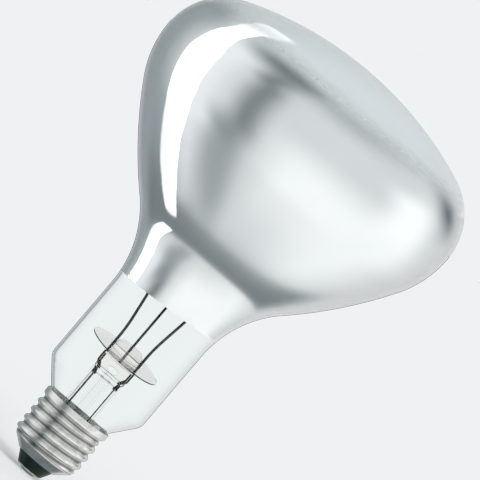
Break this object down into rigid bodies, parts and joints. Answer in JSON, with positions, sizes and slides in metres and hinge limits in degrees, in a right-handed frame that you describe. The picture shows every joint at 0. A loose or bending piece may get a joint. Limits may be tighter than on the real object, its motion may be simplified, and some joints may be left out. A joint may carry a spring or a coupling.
{
  "type": "infrared heat lamp bulb",
  "caption": "Reflector heat lamp bulb: domed frosted face, mirrored bowl, clear neck showing the glass stem, wires and heat shield, and a round-thread screw cap.",
  "frame": {"origin": "middle of the end contact's flat, on the lamp's axis", "axes": "+Z along the lamp's axis, from the end contact to the middle of the domed face; +X towards the right lead wire, so the front looks along +Y"},
  "size_m": [0.125, 0.125, 0.1805],
  "materials": {
    "bulb_glass": "clear blown glass, frosted inside the face",
    "mirror_layer": "satin aluminium layer behind glass",
    "stem_glass": "clear pressed glass",
    "heat_shield": "thin translucent mineral sheet",
    "nickel_wire": "dark drawn wire",
    "tungsten": "coiled wire",
    "seal_wire": "oxidised wire",
    "copper_wire": "dull wire",
    "cap_metal": "nickel-plated rolled sheet, soft shine",
    "dark_glass": "opaque green-black glass",
    "cement": "rough cement",
    "contact_brass": "dull sheet",
    "solder": "dull solder"
  },
  "bodies": {
    "root": {"glass_envelope": "bulb_glass", "mirror_coating": "mirror_layer", "stem_glass": "stem_glass", "exhaust_tube": "stem_glass", "heat_shield_disc": "heat_shield", "lead_wire_left": "nickel_wire", "lead_wire_right": "nickel_wire", "support_wire": "nickel_wire", "filament_coil": "tungsten", "seal_wire_left": "seal_wire", "seal_wire_right": "seal_wire", "outer_lead_centre": "copper_wire", "outer_lead_side": "copper_wire", "cap_shell": "cap_metal", "cap_insulator": "dark_glass", "cap_cement": "cement", "contact_plate": "contact_brass", "contact_solder": "solder", "side_solder": "solder"}
  },
  "joints": []
}
